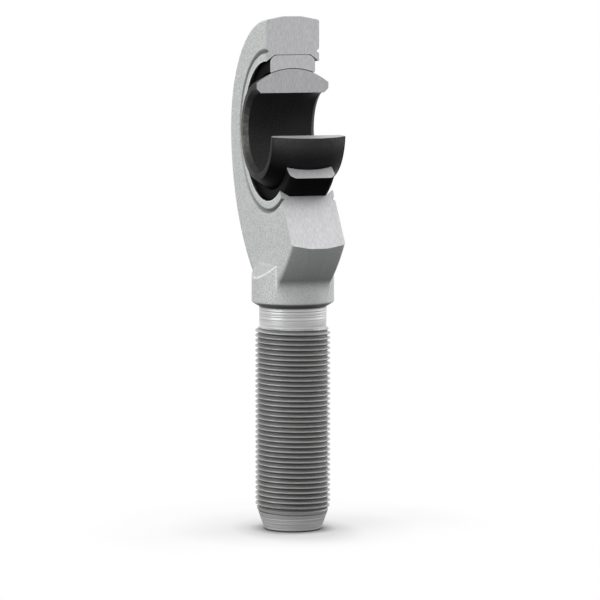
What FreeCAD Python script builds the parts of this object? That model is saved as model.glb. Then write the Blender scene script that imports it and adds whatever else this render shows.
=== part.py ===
# Rod end, shown sectioned: a forged eye with a threaded shank, and in it a steel-on-steel
# spherical bearing of two rings. Lengths are in millimetres and angles in degrees.
# Frame: the origin is the bearing's centre, Y runs along the pin bore, the shank points down -Z
# and the section opens the eye towards +X, from the plane above the centre round to one below it.
import FreeCAD, Part
import math
import os
import re
import Sketcher
from FreeCAD import Vector

doc = FreeCAD.newDocument("RodEnd")


# Driving sizes

SIZES = (
    ("bore_diameter", 8.0, "pin bore of the inner ring"),
    ("ball_diameter", 13.0, "sphere on the outside of the inner ring"),
    ("ball_width", 8.0, "width of the inner ring"),
    ("ball_chamfer", 0.45, "chamfer at each end of the bore"),
    ("ball_play", 0.08, "radial play between the sphere and its seat"),
    ("ring_wall", 1.42, "outer ring, at its thinnest over the middle of the sphere"),
    ("ring_width", 5.0, "width of the outer ring"),
    ("ring_chamfer", 0.5, "outer chamfers of the outer ring, which the staked lips hold"),
    ("ring_edge", 0.15, "broken edge at each side of the spherical seat"),
    ("eye_wall", 4.0, "eye, from the outer ring to the crown of its rim"),
    ("eye_width", 5.9, "eye, between its two flat sides"),
    ("eye_edge", 0.3, "rounding where the rim meets each side"),
    ("crown_width", 1.9, "flat strip along the middle of the rim"),
    ("draft_angle", 11.0, "slope of the forged rim from that strip to each side"),
    ("flank_radius", 20.0, "flanks from the eye down to the collar"),
    ("lip_overlap", 0.725, "how far the staked lips reach over the outer ring"),
    ("stake_reach", 0.625, "outer edge of the staking groove, outwards from the outer ring"),
    ("stake_width", 0.47, "staking groove, measured along a radius"),
    ("stake_apex", 0.27, "bottom of the staking groove, inwards from its outer edge"),
    ("stake_depth", 0.3, "depth of the staking groove"),
    ("collar_diameter", 8.7, "collar under the eye"),
    ("collar_blend", 1.6, "hollow rounding from the flanks into the collar"),
    ("collar_foot", 0.7, "how far the eye's outline stops above the collar's lower edge"),
    ("collar_root", 13.0, "where the collar starts inside the eye"),
    ("collar_end", 18.05, "lower edge of the collar"),
    ("facet_start", 13.9, "where the collar's facets leave the sides of the eye"),
    ("facet_angle", 47.0, "slope of those facets"),
    ("neck_diameter", 7.1, "turned neck between collar and thread"),
    ("neck_start", 18.5, "end of the cone under the collar"),
    ("neck_end", 20.4, "end of the neck"),
    ("thread_diameter", 8.0, "outside of the thread"),
    ("thread_start", 20.85, "upper end of the full thread"),
    ("thread_end", 39.4, "lower end of the full thread"),
    ("tip_diameter", 6.0, "flat end of the shank"),
    ("shank_end", 42.2, "bearing centre to the end of the shank"),
    ("inner_cut", 94.5, "sector cut out of the inner ring"),
    ("outer_cut", 125.5, "sector cut out of the outer ring"),
    ("eye_cut", 145.5, "sector cut out of the eye"),
)

# Sizes that follow from those, as formulas: the outside of the outer ring, the crown of the rim,
# and how far the draft has brought the rim in where its rounded edge begins.
RING_RADIUS = "(ball_diameter / 2 + ball_play + ring_wall)"
EYE_RADIUS = "(ball_diameter / 2 + ball_play + ring_wall + eye_wall)"
EDGE_DROP = "((eye_width / 2 - eye_edge - crown_width / 2) * tan(draft_angle))"

sheet = doc.addObject("Spreadsheet::Sheet", "Sizes")
for row, (alias, number, meaning) in enumerate(SIZES, start=1):
    sheet.set("A%d" % row, alias)
    sheet.set("B%d" % row, str(number))
    sheet.set("C%d" % row, meaning)
    sheet.setAlias("B%d" % row, alias)
doc.recompute()


# Formulas and sketches

SKETCH_ORIGIN = ACROSS_AXIS = range(-1, 0)[0]
UP_AXIS = range(-2, 0)[0]
START, END, CENTRE = range(1, 4)


def size(formula):
    """Number that a formula over the sheet's aliases gives now."""
    return float(sheet.evalExpression(formula))


def bound(formula):
    """The same formula as other objects write it, with the sheet's name before each alias."""
    return re.sub(r"([a-z]+_[a-z]+)", r"Sizes.\1", formula)


def dimension(sketch, kind, formula, *where):
    """Holds a radius, or one coordinate of a point, to a formula."""
    index = sketch.addConstraint(Sketcher.Constraint(kind, *where, size(formula)))
    sketch.setExpression("Constraints[%d]" % index, bound(formula))


def place(sketch, geometry, point, across, up):
    """Fixes a point at two formulas: 0 puts it on the axis, and None leaves it free."""
    if across == "0":
        sketch.addConstraint(Sketcher.Constraint("PointOnObject", geometry, point, UP_AXIS))
    elif across is not None:
        dimension(sketch, "DistanceX", across, geometry, point)
    if up == "0":
        sketch.addConstraint(Sketcher.Constraint("PointOnObject", geometry, point, ACROSS_AXIS))
    elif up is not None:
        dimension(sketch, "DistanceY", up, geometry, point)


def join(sketch, first, first_point, second, second_point):
    """Makes two end points one."""
    sketch.addConstraint(Sketcher.Constraint("Coincident", first, first_point, second, second_point))


def polygon(sketch, corners):
    """Closed outline of straight lines through corners given as pairs of formulas."""
    spots = [Vector(size(across), size(up), 0) for across, up in corners]
    lines = []
    for here, there in zip(spots, spots[1:] + spots[:1]):
        lines.append(sketch.addGeometry(Part.LineSegment(here, there)))
    for line, following in zip(lines, lines[1:] + lines[:1]):
        join(sketch, line, END, following, START)
    for line, (across, up) in zip(lines, corners):
        place(sketch, line, START, across, up)


def domed_profile(sketch, radius, half_width, corners):
    """Closed outline: an arc about the origin over the given half width, and lines through corners.

    The corners run from the arc's left end to its right end, whose heights follow the arc.
    """
    height = "sqrt((%s)^2 - (%s)^2)" % (radius, half_width)
    right = Vector(size(half_width), size(height), 0)
    left = Vector(-right.x, right.y, 0)
    spots = [left] + [Vector(size(across), size(up), 0) for across, up in corners] + [right]
    lines = [sketch.addGeometry(Part.LineSegment(a, b)) for a, b in zip(spots, spots[1:])]
    for line, following in zip(lines, lines[1:]):
        join(sketch, line, END, following, START)
    for line, (across, up) in zip(lines[1:], corners):
        place(sketch, line, START, across, up)
    arc = sketch.addGeometry(Part.Arc(right, Vector(0, size(radius), 0), left))
    join(sketch, arc, CENTRE, SKETCH_ORIGIN, START)
    dimension(sketch, "Radius", radius, arc)
    join(sketch, arc, START, lines[-1], END)
    join(sketch, arc, END, lines[0], START)
    place(sketch, arc, START, half_width, None)
    place(sketch, arc, END, "-(%s)" % half_width, None)


def eye_outline(sketch, drop, half):
    """Eye across the bore: a round top, a flank down each side, and a hollow into the collar.

    The outline is drawn in by the drop, and its walls inside the collar stand at plus and minus half.
    """
    radius = size("%s - %s" % (EYE_RADIUS, drop))
    flank = size("flank_radius - %s" % drop)
    hollow = size("collar_blend")
    wall = size(half)
    foot_level = size("collar_foot - collar_end")
    # The hollow's arc touches the flank's arc from outside, so their centres are both radii apart.
    across = wall + hollow + flank - radius
    hollow_level = -math.sqrt((flank + hollow) ** 2 - across ** 2)
    turn = math.asin(-hollow_level / (flank + hollow))
    normal = Vector(0, 0, 1)
    dome = sketch.addGeometry(Part.ArcOfCircle(Part.Circle(Vector(), normal, radius), 0, math.pi))
    join(sketch, dome, CENTRE, SKETCH_ORIGIN, START)
    dimension(sketch, "Radius", "%s - %s" % (EYE_RADIUS, drop), dome)
    place(sketch, dome, START, None, "0")
    place(sketch, dome, END, None, "0")
    walls = []
    for side, sign, upper, lower in ((1, "", START, END), (-1, "-", END, START)):
        flank_span = (-turn, 0) if side == 1 else (math.pi, math.pi + turn)
        hollow_span = (math.pi - turn, math.pi) if side == 1 else (0, turn)
        flank_circle = Part.Circle(Vector(side * (radius - flank), 0, 0), normal, flank)
        flank_arc = sketch.addGeometry(Part.ArcOfCircle(flank_circle, *flank_span))
        hollow_circle = Part.Circle(Vector(side * (wall + hollow), hollow_level, 0), normal, hollow)
        hollow_arc = sketch.addGeometry(Part.ArcOfCircle(hollow_circle, *hollow_span))
        top = Vector(side * wall, hollow_level, 0)
        wall_line = sketch.addGeometry(Part.LineSegment(top, Vector(side * wall, foot_level, 0)))
        join(sketch, dome, upper, flank_arc, lower)
        place(sketch, flank_arc, CENTRE, None, "0")
        dimension(sketch, "Radius", "flank_radius - %s" % drop, flank_arc)
        sketch.addConstraint(Sketcher.Constraint("Tangent", flank_arc, upper, hollow_arc, upper))
        dimension(sketch, "Radius", "collar_blend", hollow_arc)
        sketch.addConstraint(Sketcher.Constraint("Tangent", hollow_arc, lower, wall_line, START))
        sketch.addConstraint(Sketcher.Constraint("Vertical", wall_line))
        place(sketch, wall_line, END, sign + half, "collar_foot - collar_end")
        walls.append(wall_line)
    feet = (Vector(-wall, foot_level, 0), Vector(wall, foot_level, 0))
    foot = sketch.addGeometry(Part.LineSegment(*feet))
    join(sketch, foot, START, walls[1], END)
    join(sketch, foot, END, walls[0], END)


# Bodies and features

def new_body(label):
    """Body whose label names its file."""
    body = doc.addObject("PartDesign::Body", "Body_" + label)
    body.Label = label
    return body


def new_sketch(body, name, role, offset=None):
    """Sketch on one of the body's own planes, moved along the plane's normal by a formula."""
    plane = [feature for feature in body.Origin.OriginFeatures if feature.Role == role][0]
    sketch = body.newObject("Sketcher::SketchObject", name)
    sketch.AttachmentSupport = [(plane, "")]
    sketch.MapMode = "FlatFace"
    if offset is not None:
        sketch.setExpression("AttachmentOffset.Base.z", bound(offset))
    return sketch


def new_feature(body, kind, name, sketch):
    """Feature made from a sketch, which becomes the body's tip."""
    feature = body.newObject("PartDesign::" + kind, name)
    feature.Profile = sketch
    body.Tip = feature
    return feature


def turned(body, kind, name, sketch, axis, angle="360", reversed_turn=False):
    """Revolution or groove about one of the sketch's own axes."""
    feature = new_feature(body, kind, name, sketch)
    feature.ReferenceAxis = (sketch, [axis])
    feature.Reversed = reversed_turn
    if angle == "360":
        feature.Angle = 360
    else:
        feature.setExpression("Angle", bound(angle))
    doc.recompute()
    return feature


def changed_volume(body, before, sign, what):
    """Stops where a feature added or removed nothing, and gives the new volume."""
    doc.recompute()
    after = body.Shape.Volume
    if sign * (after - before) <= 0:
        raise RuntimeError("%s changed nothing" % what)
    return after


# Housing: one forging, with the eye, collar, neck and shank

def rim(body):
    """Eye as forged: a flat strip round the middle, and on each side a draft and a rounded edge."""
    levels = (
        ("Strip", "crown_width / 2", "0"),
        ("Edge", "(eye_width / 2 - eye_edge)", EDGE_DROP),
        ("Bend", "(eye_width / 2 - eye_edge + eye_edge * sin(45))",
         "(%s + eye_edge * (1 - cos(45)))" % EDGE_DROP),
        ("Face", "eye_width / 2", "(%s + eye_edge)" % EDGE_DROP),
    )
    outlines = []
    for sign, side, order in (("-", "Back", reversed(levels)), ("", "Front", levels)):
        for name, offset, drop in order:
            outline = new_sketch(body, side + name, "XZ_Plane", sign + offset)
            eye_outline(outline, drop, "sqrt((collar_diameter / 2)^2 - (%s)^2)" % offset)
            outlines.append(outline)
    eye = new_feature(body, "AdditiveLoft", "Rim", outlines[0])
    eye.Sections = outlines[1:]
    eye.Ruled = True
    changed_volume(body, 0, 1, "the rim")


def shank(body):
    """Collar, neck, outside of the thread and tapered tip, turned about the shank's axis."""
    sketch = new_sketch(body, "ShankProfile", "XZ_Plane")
    polygon(sketch, [
        ("0", "-collar_root"),
        ("0", "-shank_end"),
        ("tip_diameter / 2", "-shank_end"),
        ("thread_diameter / 2", "-thread_end"),
        ("thread_diameter / 2", "-thread_start"),
        ("neck_diameter / 2", "-neck_end"),
        ("neck_diameter / 2", "-neck_start"),
        ("collar_diameter / 2", "-collar_end"),
        ("collar_diameter / 2", "-collar_root"),
    ])
    volume = body.Shape.Volume
    turned(body, "Revolution", "Shank", sketch, "V_Axis")
    changed_volume(body, volume, 1, "the shank")


def facets(body):
    """Slopes the collar's top away from each side of the eye."""
    sketch = new_sketch(body, "FacetOutline", "YZ_Plane")
    outer = "(eye_width / 2 + collar_diameter / 2)"
    outer_drop = "-(facet_start + collar_diameter / 2 * tan(facet_angle))"
    for side in ("", "-"):
        polygon(sketch, [
            (side + "eye_width / 2", "-facet_start"),
            (side + outer, outer_drop),
            (side + outer, "-(collar_root - eye_edge)"),
            (side + "eye_width / 2", "-(collar_root - eye_edge)"),
        ])
    volume = body.Shape.Volume
    pocket = new_feature(body, "Pocket", "Facets", sketch)
    pocket.SideType = "Symmetric"
    pocket.Type = "ThroughAll"
    changed_volume(body, volume, -1, "the facets")


def bearing_seat(body):
    """Bore for the outer ring, narrowed at both ends by the lips staked over the ring's chamfers."""
    sketch = new_sketch(body, "SeatProfile", "YZ_Plane")
    past = "(eye_width / 2 + stake_depth)"
    seat = "(ring_width / 2 - ring_chamfer)"
    polygon(sketch, [
        ("-" + past, "0"),
        (past, "0"),
        (past, RING_RADIUS + " - lip_overlap"),
        ("eye_width / 2", RING_RADIUS + " - lip_overlap"),
        (seat, RING_RADIUS),
        ("-" + seat, RING_RADIUS),
        ("-eye_width / 2", RING_RADIUS + " - lip_overlap"),
        ("-" + past, RING_RADIUS + " - lip_overlap"),
    ])
    volume = body.Shape.Volume
    turned(body, "Groove", "Seat", sketch, "H_Axis")
    changed_volume(body, volume, -1, "the bearing seat")


def staking_grooves(body):
    """V grooves left in both sides by the tool that bent the lips over."""
    sketch = new_sketch(body, "StakeProfile", "YZ_Plane")
    for side in ("", "-"):
        polygon(sketch, [
            (side + "eye_width / 2", RING_RADIUS + " + stake_reach"),
            (side + "(eye_width / 2 - stake_depth)", RING_RADIUS + " + stake_reach - stake_apex"),
            (side + "eye_width / 2", RING_RADIUS + " + stake_reach - stake_width"),
        ])
    volume = body.Shape.Volume
    turned(body, "Groove", "StakingGrooves", sketch, "H_Axis")
    changed_volume(body, volume, -1, "the staking grooves")


def eye_section(body):
    """Cuts the eye open from the upright plane round to the lower cut plane."""
    sketch = new_sketch(body, "SectionOutline", "XZ_Plane")
    past_rim = "(2 * %s)" % EYE_RADIUS
    polygon(sketch, [
        ("0", "0"),
        (past_rim, past_rim + " / tan(eye_cut)"),
        (past_rim, past_rim),
        ("0", past_rim),
    ])
    volume = body.Shape.Volume
    pocket = new_feature(body, "Pocket", "Section", sketch)
    pocket.SideType = "Symmetric"
    pocket.Type = "ThroughAll"
    changed_volume(body, volume, -1, "the section")


def housing():
    body = new_body("housing")
    rim(body)
    shank(body)
    facets(body)
    bearing_seat(body)
    staking_grooves(body)
    eye_section(body)
    return body


# Spherical bearing: two rings, each turned about the bore and cut open by its own sector

def outer_ring():
    body = new_body("outer_ring")
    sketch = new_sketch(body, "OuterProfile", "YZ_Plane")
    seat_radius = "ball_diameter / 2 + ball_play"
    seat_width = "(ring_width / 2 - ring_edge)"
    seat_corner = "sqrt((%s)^2 - (ring_width / 2)^2) + ring_edge" % seat_radius
    domed_profile(sketch, seat_radius, seat_width, [
        ("-ring_width / 2", seat_corner),
        ("-ring_width / 2", RING_RADIUS + " - ring_chamfer"),
        ("-(ring_width / 2 - ring_chamfer)", RING_RADIUS),
        ("ring_width / 2 - ring_chamfer", RING_RADIUS),
        ("ring_width / 2", RING_RADIUS + " - ring_chamfer"),
        ("ring_width / 2", seat_corner),
    ])
    turned(body, "Revolution", "OuterRing", sketch, "H_Axis", "360 - outer_cut", True)
    return body


def inner_ring():
    body = new_body("inner_ring")
    sketch = new_sketch(body, "InnerProfile", "YZ_Plane")
    domed_profile(sketch, "ball_diameter / 2", "ball_width / 2", [
        ("-ball_width / 2", "bore_diameter / 2 + ball_chamfer"),
        ("-(ball_width / 2 - ball_chamfer)", "bore_diameter / 2"),
        ("ball_width / 2 - ball_chamfer", "bore_diameter / 2"),
        ("ball_width / 2", "bore_diameter / 2 + ball_chamfer"),
    ])
    turned(body, "Revolution", "InnerRing", sketch, "H_Axis", "360 - inner_cut", True)
    return body


# The parts, their checks and their files

PARTS = [housing(), outer_ring(), inner_ring()]
doc.recompute()

for item in doc.Objects:
    if "Invalid" in item.State or "Error" in item.State:
        raise RuntimeError("%s did not build" % item.Label)

os.makedirs("parts", exist_ok=True)
for part in PARTS:
    shape = part.Shape
    if shape.isNull() or not shape.isValid() or len(shape.Solids) != 1:
        raise RuntimeError("%s has no sound solid" % part.Label)
    print(part.Label, "volume %.1f" % shape.Volume, "box", shape.BoundBox)
    shape.exportStep("parts/%s.step" % part.Label)
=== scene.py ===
import bpy
import numpy as np
from mathutils import Matrix, Vector
from mathutils.geometry import tessellate_polygon


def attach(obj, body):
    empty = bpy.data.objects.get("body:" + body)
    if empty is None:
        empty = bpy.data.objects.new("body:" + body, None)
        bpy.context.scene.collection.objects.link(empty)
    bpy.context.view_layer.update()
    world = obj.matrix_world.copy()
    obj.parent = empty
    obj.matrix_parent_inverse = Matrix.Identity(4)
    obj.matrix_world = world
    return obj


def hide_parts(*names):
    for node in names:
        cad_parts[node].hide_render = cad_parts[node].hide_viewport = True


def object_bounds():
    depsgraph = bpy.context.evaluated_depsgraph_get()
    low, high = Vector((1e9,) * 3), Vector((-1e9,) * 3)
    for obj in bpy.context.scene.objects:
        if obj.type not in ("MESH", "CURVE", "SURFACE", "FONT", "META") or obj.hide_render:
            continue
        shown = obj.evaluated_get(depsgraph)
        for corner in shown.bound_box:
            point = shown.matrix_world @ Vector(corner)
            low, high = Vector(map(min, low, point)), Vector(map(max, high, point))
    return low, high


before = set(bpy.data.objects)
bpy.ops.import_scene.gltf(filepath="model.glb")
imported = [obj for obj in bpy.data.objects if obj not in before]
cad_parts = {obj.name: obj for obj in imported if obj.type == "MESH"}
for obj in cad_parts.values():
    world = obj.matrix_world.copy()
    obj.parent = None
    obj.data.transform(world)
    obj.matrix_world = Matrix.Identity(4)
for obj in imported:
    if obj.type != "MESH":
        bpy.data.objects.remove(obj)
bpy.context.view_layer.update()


# Housing: one steel forging, shot blasted, with collar, neck and left-hand thread turned on it and
# the bore's sides staked over the outer ring. The eye is cut open by grinding, so its cut faces
# are bright. Shapes are in mm and degrees, here and below, and shader distances in metres.
MM = 0.001
WELD_STEP = 1e-5
CREASE = 32
CAP_SAG = 0.002
EYE_RADIUS = 12.0
EYE_HALF = 2.95
STRIP_HALF = 0.95
DRAFT_ANGLE = 11.0
DRAFT = np.tan(np.radians(DRAFT_ANGLE))
RIM_EDGE = 0.3
FLANK_RADIUS = 20.0
FLANK_OFFSET = FLANK_RADIUS - EYE_RADIUS
COLLAR_RADIUS = 4.35
COLLAR_BLEND = 1.6
FOOT_LEVEL = -17.35
CUT_FROM = 90.0
EYE_UNTIL = 304.5
BLASTED, GROUND, TURNED, THREADED, TIP = range(5)


def sector(angle, across, radius):
    """Grid of points: x = radius cos(angle), z = radius sin(angle), y as given."""
    turn = np.radians(angle)[None, :]
    radius = np.broadcast_to(radius, (len(across), turn.shape[1]))
    across = np.broadcast_to(np.asarray(across, float)[:, None], radius.shape)
    return np.stack([radius * np.cos(turn), across, radius * np.sin(turn)], axis=-1)


def surface(grid, skin, wear_and_highlight, painted_shade):
    """Points, triangles, skins, wear and painted highlight, and painted shade of a grid of points.

    Each cell gives two triangles. The skin is a material's number for each row of cells, and the
    masks of wear and painted highlight and of painted shade lie on the points. One value may stand
    for a whole row or for the whole grid.
    """
    rows, columns = grid.shape[:2]
    index = np.arange(rows * columns).reshape(rows, columns)
    a, b = index[:-1, :-1].ravel(), index[1:, :-1].ravel()
    c, d = index[1:, 1:].ravel(), index[:-1, 1:].ravel()
    triangles = np.stack([np.stack([a, b, c], 1), np.stack([a, c, d], 1)], 1).reshape(-1, 3)
    skins = np.repeat(np.broadcast_to(skin, rows - 1), 2 * (columns - 1))
    wear_and_highlight, painted_shade = (np.broadcast_to(mask, (rows, columns)).ravel() for mask in (wear_and_highlight, painted_shade))
    return grid.reshape(-1, 3), triangles, skins, wear_and_highlight, painted_shade


def outward(points, triangles):
    """Turns a closed shell right side out: a sixth of the sum of a.(b x c) must be positive."""
    a, b, c = (points[triangles[:, k]] for k in range(3))
    volume = np.einsum("ij,ij->i", a, np.cross(b, c)).sum()
    return triangles if volume > 0 else triangles[:, ::-1]


def cut_ring(angle, across, radius, skin, cut_skin, wear_and_highlight, painted_shade):
    """Closed profile carried round an arc, with a flat cut face at each end of the arc.

    The profile runs clockwise where its radius is drawn to the right and its distance across up.
    Each cut face is split into triangles on a copy of the profile whose straight sides sag a
    little, by a share that is largest in the middle, so that no triangle lies along a side.
    """
    grid = sector(angle, across, radius)
    first, size = grid[:, 0], grid.shape[:2]
    wear_and_highlight, painted_shade = np.broadcast_to(wear_and_highlight, size), np.broadcast_to(painted_shade, size)
    closed = [np.concatenate([rows, rows[:1]]) for rows in (grid, wear_and_highlight, painted_shade)]
    points, triangles, skins, wear_and_highlight, painted_shade = surface(closed[0], skin, *closed[1:])
    reach, side = np.hypot(first[:, 0], first[:, 2]), first[:, 1]
    middle, half = (reach.max() + reach.min()) / 2, (reach.max() - reach.min()) / 2
    sagged = side * (1 - CAP_SAG * (1 - ((reach - middle) / half) ** 2))
    cap = np.array(tessellate_polygon([[Vector((r, y, 0.0)) for r, y in zip(reach, sagged)]]))
    start = np.arange(len(first)) * len(angle)
    end = start + len(angle) - 1
    shell = np.concatenate([triangles, start[cap][:, ::-1], end[cap]])
    skins = np.concatenate([skins, np.full(2 * len(cap), cut_skin)])
    return points, outward(points, shell), skins, wear_and_highlight, painted_shade


def join_shells(shells):
    """Several shells as one, each given as points, triangles, skins, wear and painted highlight,
    and painted shade.
    """
    points, triangles, *others = zip(*shells)
    starts = np.cumsum([0] + [len(part) for part in points[:-1]])
    triangles = [part + start for part, start in zip(triangles, starts)]
    return [np.concatenate(parts) for parts in (points, triangles, *others)]


def make_piece(name, shells, materials):
    """One mesh object from closed shells, their double points joined and slivers dropped."""
    points, triangles, skins, wear_and_highlight, painted_shade = join_shells(shells)
    _, first, same = np.unique(np.round(points / WELD_STEP).astype(np.int64), axis=0,
                               return_index=True, return_inverse=True)
    triangles = same.reshape(-1)[triangles]
    a, b, c = triangles.T
    kept = (a != b) & (b != c) & (c != a)
    triangles, skins = triangles[kept], skins[kept]
    mesh = bpy.data.meshes.new(name)
    mesh.vertices.add(len(first))
    mesh.vertices.foreach_set("co", (points[first] * MM).astype(np.float32).ravel())
    mesh.loops.add(triangles.size)
    mesh.loops.foreach_set("vertex_index", triangles.astype(np.int32).ravel())
    mesh.polygons.add(len(triangles))
    mesh.polygons.foreach_set("loop_start", np.arange(0, triangles.size, 3, dtype=np.int32))
    mesh.update(calc_edges=True)
    for material in materials:
        mesh.materials.append(material)
    mesh.polygons.foreach_set("material_index", skins.astype(np.int32))
    mesh.polygons.foreach_set("use_smooth", np.ones(len(triangles), dtype=bool))
    # Masks of wear and painted highlight and of painted shade go on the points.
    for mask, values in (("wear_and_highlight", wear_and_highlight), ("painted_shade", painted_shade)):
        attribute = mesh.attributes.new(mask, "FLOAT", "POINT")
        attribute.data.foreach_set("value", values[first].astype(np.float32))
    mesh.validate()
    mesh.set_sharp_from_angle(angle=np.radians(CREASE))
    piece = bpy.data.objects.new(name, mesh)
    bpy.context.collection.objects.link(piece)
    return piece


def circle_reach(angle, across, up, radius, side):
    """Distance from the origin along an angle to a circle's near side, -1, or far side, 1.

    With the circle's centre at (across, up), it is the centre's distance along the ray, plus or
    minus the root of that squared, less the centre's distance squared, plus the radius squared.
    """
    along = np.cos(angle) * across + np.sin(angle) * up
    square = along ** 2 - across ** 2 - up ** 2 + radius ** 2
    return along + side * np.sqrt(np.maximum(square, 0))


def rim_reach(angle, across, drop):
    """Radius of the rim at angles in degrees, for one distance across and its drop from the crown.

    Going down each side it is the dome's circle, the flank's circle, the hollow's circle,
    the upright line of the collar and the level foot, each up to the angle of its end point.
    """
    turn = np.radians(np.where(angle > 270, 540 - angle, angle))
    wall = np.sqrt(COLLAR_RADIUS ** 2 - across ** 2)
    flank = FLANK_RADIUS - drop
    middle = wall + COLLAR_BLEND
    level = -np.sqrt((flank + COLLAR_BLEND) ** 2 - (middle + FLANK_OFFSET) ** 2)
    share = flank / (flank + COLLAR_BLEND)
    touch_across = -FLANK_OFFSET + share * (middle + FLANK_OFFSET)
    touch_turn = np.pi + np.arctan2(-share * level, touch_across)
    wall_turn = np.pi + np.arctan2(-level, wall)
    foot_turn = np.pi + np.arctan2(-FOOT_LEVEL, wall)
    return np.select(
        [turn <= np.pi, turn <= touch_turn, turn <= wall_turn, turn <= foot_turn],
        [np.full_like(turn, EYE_RADIUS - drop),
         circle_reach(turn, FLANK_OFFSET, 0.0, flank, 1),
         circle_reach(turn, -middle, level, COLLAR_BLEND, -1),
         wall / np.abs(np.cos(turn))],
        FOOT_LEVEL / np.sin(turn))


# Half of the profile near the bore as distance across and radius: seat, bevel under the lip,
# the lip's rounded tip, its face, the V groove left by the staking tool, and the start of the face.
bore_half = np.array([
    (0.0, 8.0), (1.0, 8.0), (1.9, 8.0), (1.98, 7.996), (2.05, 7.96), (2.35, 7.73), (2.65, 7.505),
    (2.86, 7.345), (2.905, 7.315), (2.935, 7.315), (2.948, 7.345), (2.95, 7.45), (2.95, 7.8),
    (2.948, 8.05), (2.935, 8.12), (2.895, 8.17), (2.78, 8.255), (2.68, 8.325), (2.652, 8.345),
    (2.645, 8.362), (2.658, 8.385), (2.72, 8.435), (2.82, 8.515), (2.91, 8.59), (2.94, 8.622),
    (2.95, 8.66)])
SEAT_ROWS = 5
LIP_FACE_FROM = 2.5
BEVEL_ROWS = 9
bore_row = np.arange(len(bore_half))
lip_wear = np.interp(bore_half[:, 1], [7.3, 7.33, 7.5], [1.0, 0.6, 0.0])
lip_wear *= bore_half[:, 0] > LIP_FACE_FROM
# Painted shade in the staking groove, and on the bevel under the lip where the ring meets the eye.
groove_shade = np.interp(bore_row, [13, 14, 15, 18, 21, 24, 25], [0, 0.5, 0.85, 0.95, 0.75, 0.4, 0])
bevel_shade = np.interp(bore_row, [3, 5, 7, 8], [1.0, 0.8, 0.2, 0]) * (bore_row < BEVEL_ROWS)

# Half of the rim as distance across and drop from the crown: rounded edge, draft and strip.
bend = np.radians(np.linspace(90, DRAFT_ANGLE, 8))
edge_middle = EYE_HALF - RIM_EDGE
edge_drop = (edge_middle - STRIP_HALF) * DRAFT + RIM_EDGE / np.cos(np.radians(DRAFT_ANGLE))
rim_half = np.concatenate([
    np.stack([edge_middle + RIM_EDGE * np.sin(bend), edge_drop - RIM_EDGE * np.cos(bend)], 1),
    [(y, (y - STRIP_HALF) * DRAFT) for y in (2.3, 1.9, 1.5, 1.2, 1.07)],
    [(0.97, 0.008), (0.86, 0.0), (0.45, 0.0)]])
rim_wear = np.interp(np.arange(len(rim_half)), [0, 2, 4, 7, 9], [0, 0.25, 0.35, 0.15, 0])

# The eye's columns lie closer together where the rim runs down into the collar.
FOOT_FROM, FOOT_UNTIL, FOOT_STEP = 250.0, 290.0, 0.32
FACE_ROWS = 13
eye_angle = np.unique(np.round(np.concatenate([
    np.arange(CUT_FROM, FOOT_FROM, 1.3), np.arange(FOOT_FROM, FOOT_UNTIL + 0.01, FOOT_STEP),
    np.arange(FOOT_UNTIL + 0.3, EYE_UNTIL, 1.2), [EYE_UNTIL]]), 4))
bore_rows = np.repeat(bore_half[:, 1:], len(eye_angle), axis=1)
rim_rows = np.stack([rim_reach(eye_angle, y, drop) for y, drop in rim_half])
face_share = np.linspace(0, 1, FACE_ROWS + 2)[1:-1, None]
face_rows = bore_rows[-1] + face_share * (rim_rows[0] - bore_rows[-1])
half_across = np.concatenate([bore_half[:, 0], np.full(FACE_ROWS, EYE_HALF), rim_half[:, 0]])
half_reach = np.concatenate([bore_rows, face_rows, rim_rows])
half_wear = np.concatenate([lip_wear, np.zeros(FACE_ROWS), rim_wear])
half_shade = np.zeros(len(half_across))
half_shade[:len(bore_half)] = groove_shade + bevel_shade
crown = rim_reach(eye_angle, 0.0, 0.0)[None, :]
eye_across = np.concatenate([half_across, [0.0], -half_across[:0:-1]])
eye_reach = np.concatenate([half_reach, crown, half_reach[:0:-1]])
eye_wear = np.concatenate([half_wear, [0.0], half_wear[:0:-1]])[:, None]
eye_shade = np.concatenate([half_shade, [0.0], half_shade[:0:-1]])[:, None]
eye_skin = np.full(len(eye_across), BLASTED)
eye_skin[:SEAT_ROWS] = eye_skin[-SEAT_ROWS:] = TURNED

# Painted shade darkens the hollow between flank and collar most just above the collar's facets.
eye_height = eye_reach * np.sin(np.radians(eye_angle))
hollow_shade = np.interp(eye_height, [-15.9, -15.45, -14.9, -13.6, -11.5], [0, 0.5, 0.34, 0.16, 0])
hollow_shade *= eye_reach >= rim_rows[0] - 0.01
eye_shell = cut_ring(eye_angle, eye_across, eye_reach, eye_skin, GROUND,
                     eye_wear, np.maximum(eye_shade, hollow_shade))

# Collar, neck, thread and tip: rows run down the shank and columns round it. The collar's plan is
# its circle, with a fillet where each side of the eye meets it.
FACET_TOP = -13.9
FACET_SLOPE = np.tan(np.radians(47.0))
FACET_INSET = 0.1
EDGE_SOFT = 0.12
UNDER_EDGE = 0.12
WALL_ROWS = 21
PLAN_FILLET = 0.4
PLAN_FROM = 38.0
PLAN_FADE = (-17.0, -16.1)
LINE_FADE = (-17.2, -15.6)
COLLAR_END = -18.02
NECK_RADIUS = 3.55
NECK_END = -20.62
RING_DEPTH = 0.018
SHANK_RADIUS = 4.0
THREAD_FROM = -21.0
THREAD_UNTIL = -39.4
THREAD_LOW = -40.5
SHANK_END = -42.2
TIP_RADIUS = 3.0
CREST_RADIUS = 3.98
ROOT_RADIUS = 3.63
PITCH = 0.54
CREST_HEIGHT, CREST_TURN = -21.04, 110
FIRST_CREST = CREST_HEIGHT - PITCH * CREST_TURN / 360

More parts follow.
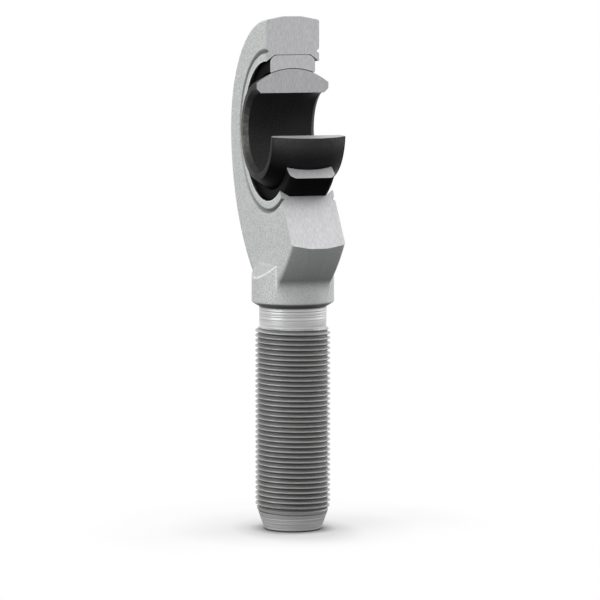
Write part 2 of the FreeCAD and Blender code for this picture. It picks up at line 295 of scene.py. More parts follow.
fillet_up = EYE_HALF + PLAN_FILLET
fillet_across = np.sqrt((COLLAR_RADIUS + PLAN_FILLET) ** 2 - fillet_up ** 2)
line_turn = np.degrees(np.arctan2(EYE_HALF, fillet_across))
circle_turn = np.degrees(np.arctan2(fillet_up, fillet_across))
quarter = np.concatenate([
    np.arange(0, PLAN_FROM + 1, 5.0), [PLAN_FROM, PLAN_FROM + 1.5],
    np.linspace(line_turn, circle_turn, 8), [47.0], np.arange(50, 90, 5.0)])
column = np.unique(np.round(np.concatenate(
    [quarter, 180 - quarter, 180 + quarter, 360 - quarter, [90.0, 270.0]]), 4))
folded = np.abs(np.where(column > 180, 360 - column, column))
folded = np.where(folded > 90, 180 - folded, folded)
past_circle = EYE_HALF / np.sin(np.radians(line_turn)) - COLLAR_RADIUS
widened = np.interp(folded, [PLAN_FROM, line_turn, circle_turn], [0, 1, 0]) * past_circle
filleted = np.where(
    (folded >= line_turn) & (folded <= circle_turn),
    circle_reach(np.radians(folded), fillet_across, fillet_up, PLAN_FILLET, -1),
    widened * (folded < line_turn) + COLLAR_RADIUS)


def smooth_step(value, low, high):
    """Eases from 0 at low to 1 at high: 3t^2 - 2t^3 of the clamped share t."""
    share = np.clip((value - low) / (high - low), 0, 1)
    return share * share * (3 - 2 * share)


def facet_level(y):
    """Height of the sloped facet: level up to the eye's side and falling away beyond it."""
    return FACET_TOP - np.maximum(np.abs(y) - EYE_HALF, 0) * FACET_SLOPE


def bent(start, corner, end, share):
    """Point on a curve from start to end, which sets out and arrives along lines to the corner."""
    return (1 - share) ** 2 * start + 2 * share * (1 - share) * corner + share ** 2 * end


ahead, aside = np.cos(np.radians(column)), np.sin(np.radians(column))
edge_x, edge_y = filleted * ahead, filleted * aside
inner_y = np.sign(edge_y) * np.minimum(np.abs(edge_y), EYE_HALF - FACET_INSET)
soft_here = np.minimum(EDGE_SOFT, np.abs(edge_y - inner_y))
last_y = edge_y - np.sign(edge_y) * soft_here
zero = 0 * edge_x
corner = np.stack([edge_x, edge_y, facet_level(edge_y)], -1)
above = np.stack([edge_x, last_y, facet_level(last_y)], -1)
below = corner - np.stack([zero, zero, soft_here], -1)
facet_shares = (0.0, 0.1, 0.35, 0.6, 0.8, 0.96, 1.0)
edge_shares = (0.25, 0.5, 0.75, 1.0)
rows = [np.stack([zero, zero, zero + FACET_TOP], -1)]
for share in facet_shares:
    y = inner_y + share * (last_y - inner_y)
    rows.append(np.stack([edge_x, y, facet_level(y)], -1))
rows += [bent(above, corner, below, share) for share in edge_shares]
for share in np.linspace(0, 1, WALL_ROWS + 1)[1:]:
    z = below[:, 2] + share * (COLLAR_END + UNDER_EDGE - below[:, 2])
    reach = COLLAR_RADIUS + (filleted - COLLAR_RADIUS) * smooth_step(z, *PLAN_FADE)
    rows.append(np.stack([reach * ahead, reach * aside, z], -1))


def turned_rows(profile):
    """Rows of points for (radius, height) pairs turned about the shank."""
    radius, height = np.asarray(profile, float).T[:, :, None]
    return np.stack([radius * ahead, radius * aside, height + zero], -1)


# Under the collar are a small rounded edge, a cone and the corner at the neck. The lathe's rings
# on the neck are the sum of three waves down its height, and fade out above the thread.
under = [(COLLAR_RADIUS - 0.01, COLLAR_END + 0.05), (COLLAR_RADIUS - 0.045, COLLAR_END + 0.005),
         (COLLAR_RADIUS - 0.1, COLLAR_END - 0.035), (3.95, -18.25), (3.64, -18.42),
         (3.57, -18.48), (3.55, -18.55)]
# Painted shade under the collar, deepest on the cone.
under_collar_shade = [0.0, 0.4, 1.0, 1.15, 1.15, 0.9, 0.4]
neck_height = np.linspace(-18.62, NECK_END + 0.02, 64)
rings = RING_DEPTH * (0.5 * np.sin(neck_height * 21.0) + 0.35 * np.sin(neck_height * 34.7 + 1.0)
                      + 0.3 * np.sin(neck_height * 13.1 + 2.0))
rings *= np.interp(neck_height, [-20.2, -19.9, -19.6], [0.0, 0.3, 1.0])
fillet = 0.03 * smooth_step(-neck_height, 20.25, 20.5)
neck = np.stack([NECK_RADIUS + rings - fillet, neck_height], 1)


def blank_radius(height):
    """Radius of the shank's blank: the thread's run-out cone, the cylinder and the tip's cone."""
    return np.interp(-height, [-NECK_END, -THREAD_FROM, -THREAD_UNTIL, -SHANK_END],
                     [NECK_RADIUS, SHANK_RADIUS, SHANK_RADIUS, TIP_RADIUS])


# One pitch of the thread: the share of the pitch below a crest, the depth there as a share of the
# thread's depth, the painted highlight on the upper flank and the painted shade on the lower flank
# and root. Its crests are cut off where they pass the blank.
form = np.array([
    (-0.06, 0.03, 1.0, 0.0), (0.0, 0.0, 0.8, 0.1), (0.06, 0.03, 0.1, 0.6), (0.19, 0.38, 0.0, 0.9),
    (0.33, 0.78, 0.0, 1.0), (0.44, 0.98, 0.0, 0.95), (0.5, 1.0, 0.0, 0.85), (0.56, 0.98, 0.15, 0.7),
    (0.67, 0.78, 0.4, 0.4), (0.81, 0.38, 0.75, 0.08)])
turns = int(np.ceil((NECK_END - THREAD_LOW) / PITCH)) + 3
down, depth, form_highlight, form_shade = np.tile(form, (turns, 1)).T[:, :, None]
down = down + np.repeat(np.arange(turns), len(form))[:, None]
height = FIRST_CREST + 3 * PITCH - PITCH * down - PITCH * column / 360
height = np.clip(height, THREAD_LOW, NECK_END)
form_radius = CREST_RADIUS - (CREST_RADIUS - ROOT_RADIUS) * depth
radius = np.minimum(form_radius, blank_radius(height))
cut_in = smooth_step(blank_radius(height) - form_radius, -0.01, 0.03)
thread = np.stack([radius * ahead, radius * aside, height], -1)

# The tip has shallow rings of its own, a small rounded corner and a flat end.
tip_height = np.linspace(THREAD_LOW, SHANK_END + 0.1, 48)[1:]
tip_rings = 0.011 * np.sin(tip_height * 17.0) + 0.006 * np.sin(tip_height * 29.0)
tip = turned_rows(np.concatenate([
    [(blank_radius(THREAD_LOW), THREAD_LOW)],
    np.stack([blank_radius(tip_height) + tip_rings, tip_height], 1),
    [(3.02, -42.15), (2.97, -42.185)], [(r, SHANK_END) for r in (2.92, 2.4, 1.2, 0.0)]]))

# Painted highlights lie along the fillet beside the eye, on the facet's outer edge, where they are
# brighter towards the front, and at the foot of the eye. Painted shade lies under the collar, and a
# painted contact shadow at the tip's edge.
collar_rows = len(rows)
top = np.concatenate([rows, turned_rows(under), turned_rows(neck),
                      turned_rows([(NECK_RADIUS, NECK_END)])])
row = np.arange(len(top))[:, None]
edge_from, edge_until = len(facet_shares), len(facet_shares) + len(edge_shares)
beside_eye_highlight = np.interp(folded, [line_turn - 0.6, line_turn + 0.8, circle_turn - 1.0, circle_turn],
                       [0, 1, 0.8, 0])
top_highlight = 0.65 * beside_eye_highlight * smooth_step(top[:, :, 2], *LINE_FADE) * (row > edge_until)
towards_front_highlight = np.interp(edge_x, [-1.5, 1.5], [0.2, 1.0])
top_highlight += towards_front_highlight * ((row >= edge_from) & (row < edge_until))
top_highlight += 0.35 * ((row == 1) | (row == 2))
top_shade = np.zeros((len(top), 1))
top_shade[collar_rows:collar_rows + len(under), 0] = under_collar_shade
top_skin = np.where(np.arange(len(top) - 1) <= collar_rows, BLASTED, TURNED)
tip_contact_shadow = np.interp(-tip[:, :, 2], [41.98, 42.08], [0, 1])
shank_shell = join_shells([
    surface(top, top_skin, np.clip(top_highlight, 0, 1), top_shade),
    surface(thread, THREADED, 1 + (form_highlight - 1) * cut_in, form_shade * cut_in),
    surface(tip, TIP, 0.1, tip_contact_shadow)])
shank_shell[1] = outward(*shank_shell[:2])

# Noise mostly lies in this span, and the steel is only partly metallic in the shader, because
# mirrored rays see white all round it.
NOISE_SPAN = (0.3, 0.7)
STEEL_METALLIC = 0.35


def feed(tree, node, inputs):
    """Gives a node's inputs their values or colours, or links them to another node's output."""
    for name, value in inputs.items():
        socket = node.inputs[name]
        if isinstance(value, bpy.types.NodeSocket):
            tree.links.new(value, socket)
        else:
            socket.default_value = (*value, 1) if socket.type == "RGBA" else value


def add_node(tree, kind, inputs=None, **settings):
    """Adds a shader node, sets its options and feeds its inputs."""
    node = tree.nodes.new(kind)
    for name, value in settings.items():
        setattr(node, name, value)
    feed(tree, node, inputs or {})
    return node


def own_place(tree):
    """The piece's own coordinates, in metres."""
    return add_node(tree, "ShaderNodeTexCoord").outputs["Object"]


def mesh_mask(tree, name):
    """A mask that the mesh carries on its points."""
    return add_node(tree, "ShaderNodeAttribute", attribute_name=name).outputs["Fac"]


def compute(tree, operation, *values, clamp=False):
    """Result of a Math node over one or two values."""
    return add_node(tree, "ShaderNodeMath", dict(enumerate(values)),
                    operation=operation, use_clamp=clamp).outputs[0]


def ramp(tree, source, low, high, first, second):
    """Maps a value from low..high to first..second, clamped."""
    return add_node(tree, "ShaderNodeMapRange", {
        "Value": source, "From Min": low, "From Max": high,
        "To Min": first, "To Max": second}).outputs["Result"]


def noise_ramp(tree, source, first, second):
    """Maps the span that noise mostly lies in to first..second."""
    return ramp(tree, source, *NOISE_SPAN, first, second)


def blend_colours(tree, factor, first, second):
    """Mixes two colours, the second in full where the factor is 1."""
    node = add_node(tree, "ShaderNodeMix", {"Factor": factor}, data_type="RGBA")
    numbers = [k for k, socket in enumerate(node.inputs) if socket.type == "RGBA"]
    feed(tree, node, dict(zip(numbers, (first, second))))
    return [socket for socket in node.outputs if socket.type == "RGBA"][0]


def noise_value(tree, vector, scale, detail=3.0, roughness=0.55):
    """Value of a noise over a vector, in cells per metre."""
    return add_node(tree, "ShaderNodeTexNoise", {
        "Vector": vector, "Scale": scale, "Detail": detail, "Roughness": roughness}).outputs["Fac"]


def bump(tree, height, strength, distance):
    """Normal of a Bump node over a height."""
    return add_node(tree, "ShaderNodeBump", {
        "Height": height, "Strength": strength, "Distance": distance}).outputs["Normal"]


def new_material(name):
    """Node material with a Principled shader on its output; gives the material, tree and shader."""
    material = bpy.data.materials.new(name)
    material.use_nodes = True
    tree = material.node_tree
    return material, tree, tree.nodes["Principled BSDF"]


def new_group(name, inputs, outputs):
    """Empty node group with named inputs, each with its starting value, and named outputs."""
    group = bpy.data.node_groups.new(name, "ShaderNodeTree")
    for socket_name, value in inputs.items():
        kind = "NodeSocketColor" if isinstance(value, tuple) else "NodeSocketFloat"
        socket = group.interface.new_socket(socket_name, in_out="INPUT", socket_type=kind)
        socket.default_value = (*value, 1) if isinstance(value, tuple) else value
    for socket_name in outputs:
        kind = "NodeSocketColor" if socket_name == "Color" else "NodeSocketFloat"
        group.interface.new_socket(socket_name, in_out="OUTPUT", socket_type=kind)
    return group, group.nodes.new("NodeGroupInput").outputs, group.nodes.new("NodeGroupOutput")


def place_group(tree, group, **values):
    """Outputs of a node group placed in a tree; an underscore in an input stands for a space."""
    inputs = {name.replace("_", " "): value for name, value in values.items()}
    return add_node(tree, "ShaderNodeGroup", inputs, node_tree=group).outputs


def grain_group():
    """Group: fine grain, broad patches and a mask of worn edges and painted highlights, from the
    piece's own coordinates.
    """
    group, taken, given = new_group(
        "metal_grain", {"Fine Scale": 5000.0, "Patch Scale": 150.0}, ("Grain", "Patches", "Wear_and_Highlight"))
    place = own_place(group)
    uneven = noise_ramp(group, noise_value(group, place, 2600.0), 0.55, 1.2)
    feed(group, given, {
        "Grain": noise_value(group, place, taken["Fine Scale"], 3.0, 0.6),
        "Patches": noise_value(group, place, taken["Patch Scale"], 2.0, 0.5),
        "Wear_and_Highlight": compute(group, "MULTIPLY", mesh_mask(group, "wear_and_highlight"), uneven, clamp=True)})
    return group


def painted_shade_group():
    """Group: a colour darkened by painted shade, from the mesh's mask of it, which is 1 where the
    shade is deepest, as at the bottom of a recess.
    """
    group, taken, given = new_group(
        "painted_recess_shade", {"Color": (0.6, 0.6, 0.6), "Dark": (0.07, 0.07, 0.07), "Amount": 0.8},
        ("Color",))
    share = compute(group, "MULTIPLY", mesh_mask(group, "painted_shade"), taken["Amount"], clamp=True)
    feed(group, given, {"Color": blend_colours(group, share, taken["Color"], taken["Dark"])})
    return group


metal_grain = grain_group()
painted_recess_shade = painted_shade_group()


def lathe_group():
    """Group: a lathe's fine rings round the shank, as colour, roughness and height.

    The rings are noise over coordinates that are squeezed across the shank and along it.
    """
    group, taken, given = new_group(
        "lathe_finish",
        {"Dark": (0.6, 0.6, 0.6), "Light": (0.9, 0.9, 0.9), "Across": 0.1, "Along": 1.0,
         "Base Roughness": 0.35},
        ("Color", "Roughness", "Lines"))
    squeeze = add_node(group, "ShaderNodeCombineXYZ", {
        "X": taken["Across"], "Y": taken["Across"], "Z": taken["Along"]})
    squeezed = add_node(group, "ShaderNodeVectorMath", {
        0: own_place(group), 1: squeeze.outputs[0]}, operation="MULTIPLY")
    lines = noise_value(group, squeezed.outputs[0], 5200.0, 3.0, 0.65)
    grain = place_group(group, metal_grain, Fine_Scale=4200.0, Patch_Scale=260.0)
    dark, light = taken["Dark"], taken["Light"]
    tone = blend_colours(group, noise_ramp(group, lines, 0.0, 1.0), dark, light)
    tone = blend_colours(group, noise_ramp(group, grain["Patches"], 0.0, 0.3), tone, dark)
    # Painted highlights lighten the tone and painted shade darkens it, from the mesh's masks.
    tone = blend_colours(group, grain["Wear_and_Highlight"], tone, light)
    with_painted_shade = place_group(group, painted_recess_shade, Color=tone, Dark=(0.05, 0.05, 0.05), Amount=0.85)
    unevenness = noise_ramp(group, grain["Grain"], 0.08, -0.04)
    feed(group, given, {
        "Color": with_painted_shade["Color"], "Lines": lines,
        "Roughness": compute(group, "ADD", taken["Base Roughness"], unevenness)})
    return group


def ground_group():
    """Group: a ground face as colour, roughness and height, from streaks laid along the radius.

    The streaks are noise over the distance along Y and a fifth of the distance from the Y axis.
    """
    group, taken, given = new_group(
        "ground_finish", {"Dark": (0.57, 0.57, 0.585), "Light": (0.83, 0.83, 0.84)},
        ("Color", "Roughness", "Lines"))
    place = own_place(group)
    split = add_node(group, "ShaderNodeSeparateXYZ", {0: place}).outputs
    flat = add_node(group, "ShaderNodeCombineXYZ", {"X": split["X"], "Z": split["Z"]})
    reach = add_node(group, "ShaderNodeVectorMath", {0: flat.outputs[0]}, operation="LENGTH")
    polar = add_node(group, "ShaderNodeCombineXYZ", {
        "X": split["Y"], "Y": compute(group, "MULTIPLY", reach.outputs["Value"], 0.2)})
    streak = noise_value(group, polar.outputs[0], 8000.0, 4.0, 0.7)
    broad = noise_value(group, polar.outputs[0], 1500.0, 2.0)
    patch = noise_value(group, place, 240.0, 2.0)
    dark, light = taken["Dark"], taken["Light"]
    tone = blend_colours(group, noise_ramp(group, streak, 0.0, 1.0), dark, light)
    tone = blend_colours(group, ramp(group, broad, 0.35, 0.65, 0.0, 0.25), tone, dark)
    tone = blend_colours(group, noise_ramp(group, patch, 0.0, 0.12), tone, dark)
    feed(group, given, {
        "Color": tone, "Roughness": noise_ramp(group, streak, 0.5, 0.38), "Lines": streak})
    return group


lathe_finish = lathe_group()
ground_finish = ground_group()

# Blasted: matt and zinc plated, finely speckled, a little brighter on worn edges and painted
# highlights and darkened by painted shade. The speckle is weaker in the middle of the eye's width,
# on the rim and the flank.
blasted_steel, tree, shader = new_material("blasted_steel")
grain = place_group(tree, metal_grain, Fine_Scale=9300.0, Patch_Scale=130.0)
speck = ramp(tree, grain["Grain"], 0.34, 0.66, 0.0, 1.0)
tone = blend_colours(tree, speck, (0.39, 0.405, 0.405), (0.84, 0.855, 0.85))
split = add_node(tree, "ShaderNodeSeparateXYZ", {0: own_place(tree)}).outputs
evened = ramp(tree, compute(tree, "ABSOLUTE", split["Y"]), 0.0022, 0.0031, 0.6, 0.0)
tone = blend_colours(tree, evened, tone, (0.615, 0.63, 0.625))
tone = blend_colours(tree, noise_ramp(tree, grain["Patches"], 0.0, 0.18), tone, (0.57, 0.59, 0.59))
# Painted highlights lighten the tone and painted shade darkens it, from the mesh's masks.
tone = blend_colours(tree, grain["Wear_and_Highlight"], tone, (0.95, 0.95, 0.94))
with_painted_shade = place_group(tree, painted_recess_shade, Color=tone, Dark=(0.07, 0.07, 0.068), Amount=0.82)
feed(tree, shader, {
    "Base Color": with_painted_shade["Color"], "Roughness": noise_ramp(tree, grain["Grain"], 0.62, 0.5),
    "Normal": bump(tree, grain["Grain"], 0.22, 0.00004), "Metallic": STEEL_METALLIC})


def steel_material(name, finish, line_strength, line_height, **values):
    """Bright steel with a finish's colour and roughness, and a bump over the finish's lines."""
    material, tree, shader = new_material(name)
    given = place_group(tree, finish, **values)
    feed(tree, shader, {
        "Base Color": given["Color"], "Roughness": given["Roughness"],
        "Normal": bump(tree, given["Lines"], line_strength, line_height),
        "Metallic": STEEL_METALLIC})
    return material


ground_steel = steel_material("ground_steel", ground_finish, 0.25, 0.00002,
                              Dark=(0.57, 0.57, 0.585), Light=(0.83, 0.83, 0.84))
turned_steel = steel_material("turned_steel", lathe_finish, 0.4, 0.00003,
                              Dark=(0.56, 0.57, 0.56), Light=(0.86, 0.87, 0.86),
                              Across=0.02, Along=0.7, Base_Roughness=0.34)
# Painted shade: the thread's steel is darker than the turned steel, standing in for the shade in
# its grooves.
thread_steel_painted_shade = steel_material("thread_steel_painted_shade", lathe_finish, 0.2, 0.00003,
                              Dark=(0.33, 0.335, 0.325), Light=(0.62, 0.63, 0.615),
                              Across=0.05, Along=0.5, Base_Roughness=0.36)
# Painted light: the tip's steel is lighter than the turned steel, standing in for light that its
# downward-facing cone lacks.
tip_steel_painted_light = steel_material("tip_steel_painted_light", lathe_finish, 0.8, 0.00003,
                           Dark=(0.66, 0.665, 0.655), Light=(0.98, 0.985, 0.975),
                           Across=0.02, Along=0.45, Base_Roughness=0.4)

housing = make_piece("housing_forging", [eye_shell, shank_shell],
                     [blasted_steel, ground_steel, turned_steel, thread_steel_painted_shade, tip_steel_painted_light])
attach(housing, "rod_body")
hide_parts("housing")


# Outer ring: bearing steel under a black phosphate coat, ground to a ball seat inside and held
# by the staked lips at its two outer chamfers. Its cut faces are bright.
RING_UNTIL = 324.5
RING_ACROSS = 2.5
SEAT_RADIUS = 6.58
SEAT_EDGE = 0.22
RING_RUB = 0.08
BEARING_STEP = 1.5
COATED, CUT = range(2)


def rounded(corners, radius, steps):
    """Closed profile with each corner replaced by a curve that starts and ends a radius away."""
    corners = np.asarray(corners, float)
    ends = []
    for neighbour in (np.roll(corners, 1, axis=0), np.roll(corners, -1, axis=0)):
        away = neighbour - corners
        away /= np.linalg.norm(away, axis=1)[:, None]
        ends.append(corners + np.reshape(radius, (-1, 1)) * away)
    share = np.linspace(0, 1, steps)[:, None, None]
    return bent(ends[0], corners, ends[1], share).transpose(1, 0, 2).reshape(-1, 2)


seat_side = np.sqrt(SEAT_RADIUS ** 2 - RING_ACROSS ** 2)
ring_outside = rounded([
    (RING_ACROSS, seat_side), (RING_ACROSS, 7.46), (1.98, 7.945), (-1.98, 7.945),
    (-RING_ACROSS, 7.46), (-RING_ACROSS, seat_side)], [0.24, 0.3, 0.28, 0.28, 0.3, 0.24], 6)[1:-1]
seat_span = np.linspace(-RING_ACROSS + SEAT_EDGE, RING_ACROSS - SEAT_EDGE, 17)
seat_arc = np.stack([seat_span, np.sqrt(SEAT_RADIUS ** 2 - seat_span ** 2)], 1)
ring_profile = np.concatenate([ring_outside, seat_arc])
ring_angle = np.append(np.arange(CUT_FROM, RING_UNTIL, BEARING_STEP), RING_UNTIL)
ring_wear = np.zeros((len(ring_profile), 1))
ring_wear[:len(ring_outside)] = RING_RUB
ring_shell = cut_ring(ring_angle, ring_profile[:, 0], ring_profile[:, 1:], COATED, CUT,
                      ring_wear, 0.0)


def phosphate_group():
    """Group: black phosphate as colour, roughness and height, its rubbed edges and painted
    highlights a little greyer and its painted shade darker.
    """
    group, taken, given = new_group(
        "black_phosphate",
        {"Dark": (0.004, 0.004, 0.004), "Light": (0.01, 0.01, 0.01), "Rubbed": (0.03, 0.03, 0.03)},
        ("Color", "Roughness", "Height"))
    grain = place_group(group, metal_grain, Fine_Scale=7000.0, Patch_Scale=220.0)
    dark, light = taken["Dark"], taken["Light"]
    tone = blend_colours(group, noise_ramp(group, grain["Grain"], 0.0, 1.0), dark, light)
    tone = blend_colours(group, ramp(group, grain["Patches"], 0.35, 0.65, 0.0, 0.5), tone, light)
    # Rubbing and painted highlights lighten the tone and painted shade darkens it, from the mesh's
    # masks.
    tone = blend_colours(group, grain["Wear_and_Highlight"], tone, taken["Rubbed"])
    with_painted_shade = place_group(group, painted_recess_shade, Color=tone, Dark=(0.002, 0.002, 0.002), Amount=1.0)
    feed(group, given, {
        "Color": with_painted_shade["Color"], "Height": grain["Grain"],
        "Roughness": noise_ramp(group, grain["Patches"], 0.42, 0.34)})
    return group


black_phosphate = phosphate_group()


def phosphate_material(name, dark, light, rubbed, sheen):
    """Phosphate coated steel with its own tones and sheen."""
    material, tree, shader = new_material(name)
    coat = place_group(tree, black_phosphate, Dark=dark, Light=light, Rubbed=rubbed)
    feed(tree, shader, {
        "Base Color": coat["Color"], "Roughness": coat["Roughness"],
        "Normal": bump(tree, coat["Height"], 0.2, 0.00002), "Specular IOR Level": sheen})
    return material


ring_phosphate = phosphate_material(
    "ring_phosphate", (0.003, 0.003, 0.0033), (0.008, 0.008, 0.009), (0.035, 0.035, 0.035), 0.006)
outer_ring = make_piece("outer_ring_sleeve", [ring_shell], [ring_phosphate, ground_steel])
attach(outer_ring, "rod_body")
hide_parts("outer_ring")


# Inner ring: the ball with the pin bore through it, the same steel and coat, free to turn in the
# outer ring's seat. Its cut face is bright like the others.
BALL_UNTIL = 355.5
BALL_RADIUS = 6.5
BALL_ACROSS = 4.0
BALL_EDGE = 0.04
END_RELIEF = 0.06
BORE_RADIUS = 4.0
BORE_CHAMFER = 0.45

ball_side = np.sqrt(BALL_RADIUS ** 2 - BALL_ACROSS ** 2)
chamfer_reach, chamfer_across = BORE_RADIUS + BORE_CHAMFER, BALL_ACROSS - BORE_CHAMFER
ball_bore = rounded([
    (-BALL_ACROSS, ball_side), (-BALL_ACROSS, chamfer_reach), (-chamfer_across, BORE_RADIUS),
    (chamfer_across, BORE_RADIUS), (BALL_ACROSS, chamfer_reach), (BALL_ACROSS, ball_side)],
    [BALL_EDGE, 0.03, 0.03, 0.03, 0.03, BALL_EDGE], 4)[1:-1]
ball_span = np.linspace(BALL_ACROSS - BALL_EDGE, -BALL_ACROSS + BALL_EDGE, 31)
end_relief = END_RELIEF * smooth_step(np.abs(ball_span), 2.0, 3.6)
ball_arc = np.stack([ball_span, np.sqrt(BALL_RADIUS ** 2 - ball_span ** 2) - end_relief], 1)
ball_profile = np.concatenate([ball_bore, ball_arc])
ball_angle = np.append(np.arange(CUT_FROM, BALL_UNTIL, BEARING_STEP), BALL_UNTIL)

# The end faces carry wedges left by the turning tool, lighter at -Y than at +Y; their lightness is
# partly rubbing and partly painted reflection.
# Painted shade darkens them near their cut ends and darkens the ball's outside where it runs into
# the seat, and a painted highlight lightens the outside near its cut end.
wedge_from = np.array([90, 128, 146, 158, 166, 171, 183, 188, 203, 214, 236, 262, 290])
wedge_wear_and_sheen = np.array([0.05, 0.15, 0.3, 0.65, 0.45, 0.8, 0.55, 0.95, 0.6, 0.45, 0.25, 0.1, 0.0])
wedges_and_sheen = wedge_wear_and_sheen[np.searchsorted(wedge_from, ball_angle, side="right") - 1]
across = ball_profile[:, :1]
outside = np.arange(len(ball_profile))[:, None] >= len(ball_bore)
end_face = (np.abs(across) > chamfer_across - 0.01) & ~outside
end_wear_and_sheen = end_face * np.where(across > 0, 0.4, 1.0) * wedges_and_sheen
near_cut_highlight = np.interp(ball_angle, [336, 356], [0.0, 0.3]) * np.interp(across, [1, 4], [1, 2])
end_shade = np.interp(ball_angle, [130, 160, 205, 225, 250, 268, 290],
                      [0.5, 0.0, 0.0, 0.35, 0.5, 0.95, 0.9])
outside_shade = np.interp(ball_angle, [318, 328, 338, 348], [0.95, 0.65, 0.35, 0.0])
ball_shell = cut_ring(ball_angle, ball_profile[:, 0], ball_profile[:, 1:], COATED, CUT,
                      end_wear_and_sheen + outside * near_cut_highlight, outside * outside_shade + end_face * end_shade)
ball_phosphate = phosphate_material(
    "ball_phosphate", (0.024, 0.024, 0.0245), (0.056, 0.056, 0.057), (0.21, 0.204, 0.19), 0.05)
ground_ball = steel_material("ground_ball", ground_finish, 0.25, 0.00002,
                             Dark=(0.47, 0.47, 0.48), Light=(0.70, 0.70, 0.71))
inner_ring = make_piece("inner_ring_ball", [ball_shell], [ball_phosphate, ground_ball])
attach(inner_ring, "ball")
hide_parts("inner_ring")


# Floor: a plain white sheet under the tip, 12 m wide, which takes the soft shadow of the shank,
# deepened close to the tip by painted shadow.
# Further out it is seen plain white, as the photograph's ground is.
FLOOR_REACH = 6.0
floor_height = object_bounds()[0][2]
floor_corners = [(x * FLOOR_REACH, y * FLOOR_REACH, floor_height)
                 for x, y in ((-1, -1), (1, -1), (1, 1), (-1, 1))]
floor_mesh = bpy.data.meshes.new("floor")
floor_mesh.from_pydata(floor_corners, [], [(0, 1, 2, 3)])
floor = bpy.data.objects.new("floor", floor_mesh)
bpy.context.collection.objects.link(floor)


def seen_directly(tree, path):
    """1 for rays from the camera, mirrored rays and rays through glass, which all see white."""
    camera_or_gloss = compute(tree, "ADD", path["Is Camera Ray"], path["Is Glossy Ray"])
    return compute(tree, "ADD", camera_or_gloss, path["Is Transmission Ray"], clamp=True)


def floor_distance(tree, depth_share, forward):
    """Distance over the floor from a point ahead of the shank, the part along X as a share."""
    flat = add_node(tree, "ShaderNodeVectorMath", {
        0: own_place(tree), 1: (depth_share, 1, 0), 2: (-depth_share * forward, 0, 0)},
        operation="MULTIPLY_ADD")
    return add_node(tree, "ShaderNodeVectorMath", {0: flat.outputs[0]},
                    operation="LENGTH").outputs["Value"]


# The camera sees paper darkened by painted shadow close to the tip, paper that glows a little more
# further out, so that the painted shadow fades, and plain white past the shadow's edge. Other rays
# see grey paper, so that it throws up little light.
floor_paper, tree, shader = new_material("floor_paper")
path = add_node(tree, "ShaderNodeLightPath").outputs
from_camera = path["Is Camera Ray"]
away = floor_distance(tree, 1.0, 0.0)
painted_contact_shadow = blend_colours(tree, ramp(tree, away, 0.003, 0.0048, 0.0, 1.0),
                           (0.36, 0.36, 0.36), (0.93, 0.93, 0.93))
near_edge = ramp(tree, floor_distance(tree, 0.65, 0.002), 0.0032, 0.0068, 0.0, 0.6)
shadow_edge = compute(tree, "MAXIMUM", near_edge, ramp(tree, away, 0.009, 0.023, 0.0, 1.0))
far_in_view = compute(tree, "MULTIPLY", shadow_edge, from_camera)
far_in_gloss = compute(tree, "MULTIPLY", ramp(tree, away, 0.03, 0.09, 0.0, 1.0),
                       seen_directly(tree, path))
painted_shadow_glow = ramp(tree, away, 0.003, 0.014, 0.02, 0.34)
feed(tree, shader, {
    "Base Color": blend_colours(tree, from_camera, (0.27, 0.27, 0.27), painted_contact_shadow),
    "Roughness": 0.8, "Specular IOR Level": 0.2, "Emission Color": (1, 1, 1),
    "Emission Strength": compute(tree, "MULTIPLY", from_camera, painted_shadow_glow)})
glow = add_node(tree, "ShaderNodeEmission", {"Color": (1, 1, 1), "Strength": 1.0})
blend = add_node(tree, "ShaderNodeMixShader", {
    "Fac": compute(tree, "MAXIMUM", far_in_gloss, far_in_view),
    1: shader.outputs[0], 2: glow.outputs[0]})
feed(tree, tree.nodes["Material Output"], {"Surface": blend.outputs[0]})
floor_mesh.materials.append(floor_paper)


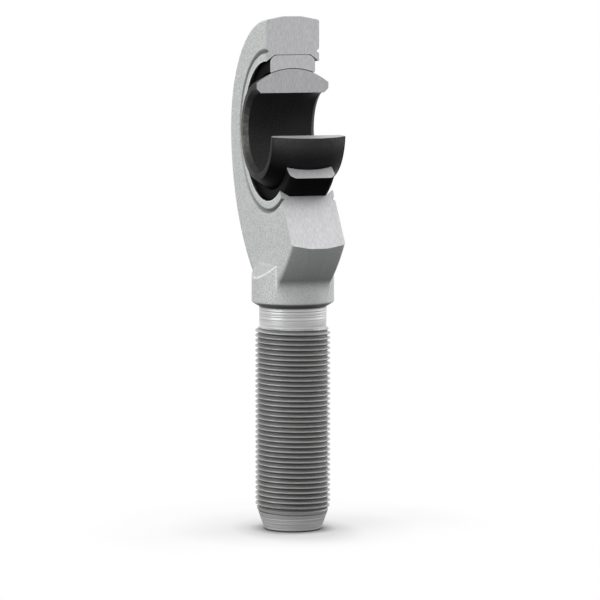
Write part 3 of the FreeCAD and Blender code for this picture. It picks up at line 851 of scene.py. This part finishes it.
# Camera: a long lens about 0.37 m away, turned 20 degrees from the plane of the section and
# looking down by five, so that the far side of the eye and the section faces both show.
VIEW_TURN = np.radians(19.97)
VIEW_FALL = np.radians(5.42)
DISTANCE = 374.5
PIXELS_PER_MM = 9.5135
FRAME_WIDTH = 600
CENTRE_ON_SCREEN = (292.78, 130.78)
right = np.array([np.sin(VIEW_TURN), np.cos(VIEW_TURN), 0.0])
up = np.array([-np.cos(VIEW_TURN) * np.sin(VIEW_FALL), np.sin(VIEW_TURN) * np.sin(VIEW_FALL),
               np.cos(VIEW_FALL)])
back = np.cross(right, up)
shift_right, shift_down = (FRAME_WIDTH / 2 - np.array(CENTRE_ON_SCREEN)) / PIXELS_PER_MM
target = shift_right * right - shift_down * up
lens = bpy.data.cameras.new("camera")
lens.sensor_width = 36.0
lens.lens = DISTANCE * PIXELS_PER_MM * lens.sensor_width / FRAME_WIDTH
lens.clip_start = 0.01
camera = bpy.data.objects.new("camera", lens)
bpy.context.collection.objects.link(camera)
axes = Matrix(np.column_stack([right, up, back]).tolist()).to_4x4()
camera.matrix_world = Matrix.Translation(Vector((target + DISTANCE * back) * MM)) @ axes
bpy.context.scene.camera = camera


# Light: wide soft boxes on the left, on the right and overhead, two faint ones behind and ahead,
# and an even grey room that the camera and mirrored rays see as white.
AIM = (0, 0, -10)


def soft_box(name, place, side, watts):
    """Square area lamp at a place, facing the aim."""
    data = bpy.data.lights.new(name, "AREA")
    data.shape = "RECTANGLE"
    data.size = data.size_y = side * MM
    data.energy = watts
    lamp = bpy.data.objects.new(name, data)
    lamp.location = Vector(place) * MM
    lamp.rotation_euler = (Vector(place) - Vector(AIM)).to_track_quat("Z", "Y").to_euler()
    bpy.context.collection.objects.link(lamp)


soft_box("left_box", (80, -400, 150), 360, 0.97)
soft_box("back_left_box", (-330, -300, 120), 300, 0.05)
soft_box("right_box", (-40, 400, 150), 360, 0.73)
soft_box("right_front_box", (250, 330, 60), 300, 0.12)
soft_box("top_box", (150, 0, 420), 400, 0.49)

room = bpy.data.worlds.new("room")
bpy.context.scene.world = room
room.use_nodes = True
tree = room.node_tree
tree.nodes.clear()
grey = add_node(tree, "ShaderNodeBackground", {"Color": (0.2, 0.2, 0.205), "Strength": 1.0})
white = add_node(tree, "ShaderNodeBackground", {"Color": (1, 1, 1), "Strength": 1.0})
path = add_node(tree, "ShaderNodeLightPath").outputs
mix = add_node(tree, "ShaderNodeMixShader", {
    "Fac": seen_directly(tree, path), 1: grey.outputs[0], 2: white.outputs[0]})
add_node(tree, "ShaderNodeOutputWorld", {"Surface": mix.outputs[0]})
bpy.context.scene.view_settings.view_transform = "Standard"
